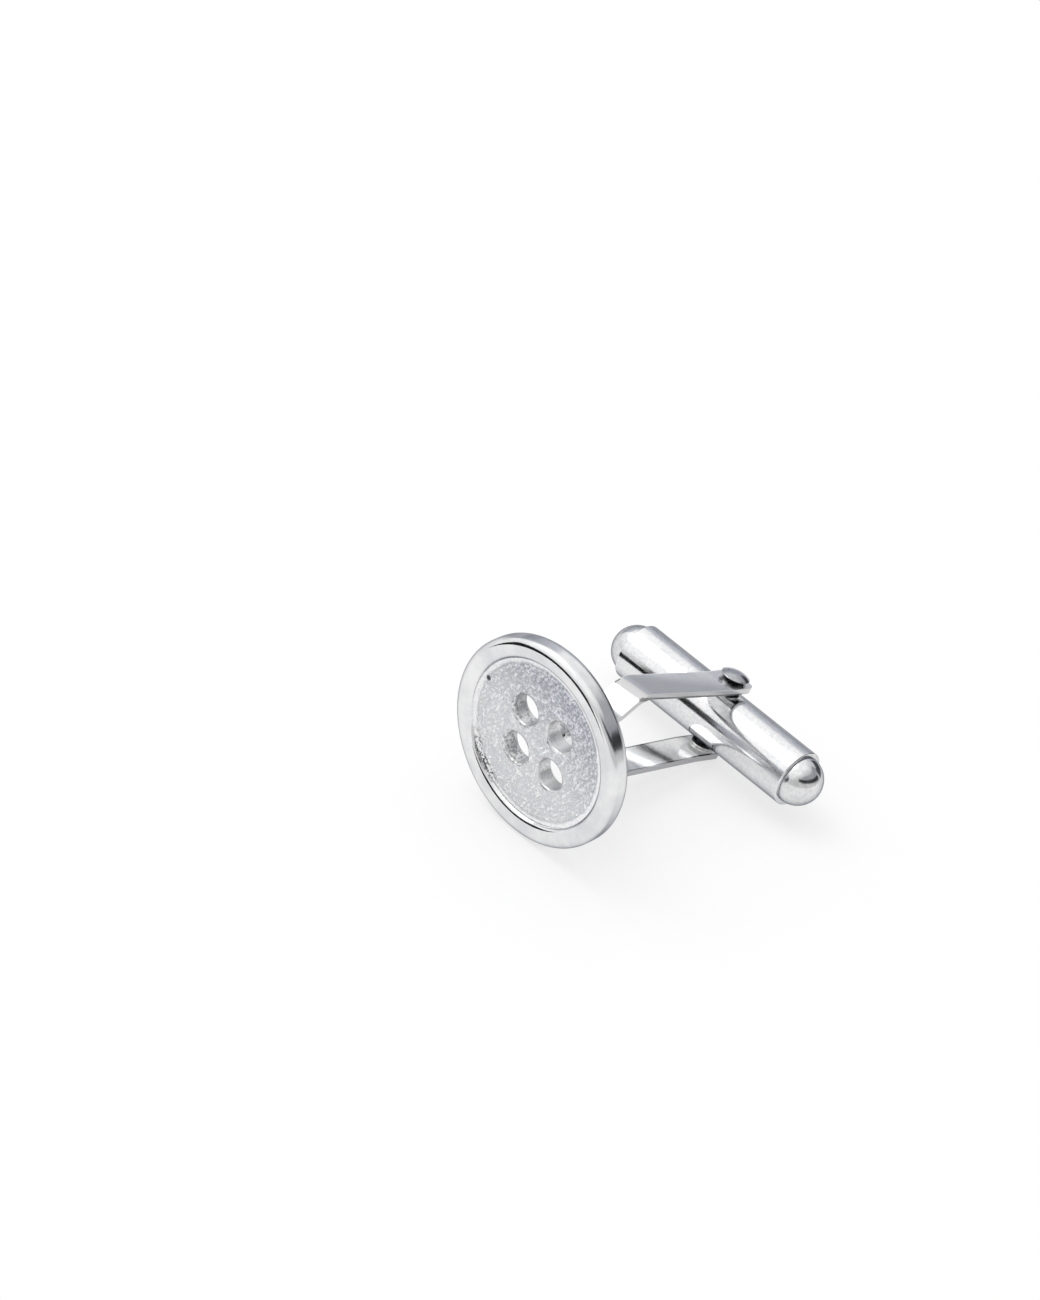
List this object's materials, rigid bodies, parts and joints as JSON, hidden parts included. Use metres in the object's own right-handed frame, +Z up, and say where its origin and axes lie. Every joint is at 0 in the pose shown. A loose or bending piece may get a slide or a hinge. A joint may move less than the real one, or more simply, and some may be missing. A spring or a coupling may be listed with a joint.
{
  "type": "cufflink",
  "caption": "Round sewing-button cufflink: sunk frosted face with thread holes, leaning two-arm post, and a round bar toggle with ball ends that swivels on a rivet.",
  "frame": {"origin": "on the table under the middle of the bounding box, with the link lying on its rim and the rivet's tail", "axes": "+Z up, +Y from the button's face towards the toggle, +X along the toggle"},
  "size_m": [0.0196, 0.0224, 0.015],
  "materials": {
    "button_silver": "polished rim, frosted floor",
    "polished_silver": "polished",
    "spring_steel": "drawn"
  },
  "bodies": {
    "link": {"button_face": "button_silver", "foot": "polished_silver", "upper_arm": "polished_silver", "lower_arm": "polished_silver", "pivot_rivet": "polished_silver", "upper_washer": "spring_steel", "lower_washer": "spring_steel"},
    "toggle": {"toggle_tube": "polished_silver", "right_ball_end": "polished_silver", "left_ball_end": "polished_silver", "rear_leaf_spring": "spring_steel", "front_leaf_spring": "spring_steel"}
  },
  "joints": [
    {"name": "toggle_swivel", "type": "hinge", "parent": "link", "child": "toggle", "pos_m": [0, 0.00906, 0.00318], "axis": [0, 0.2359, 0.9718], "range_deg": [-90, 90]}
  ]
}
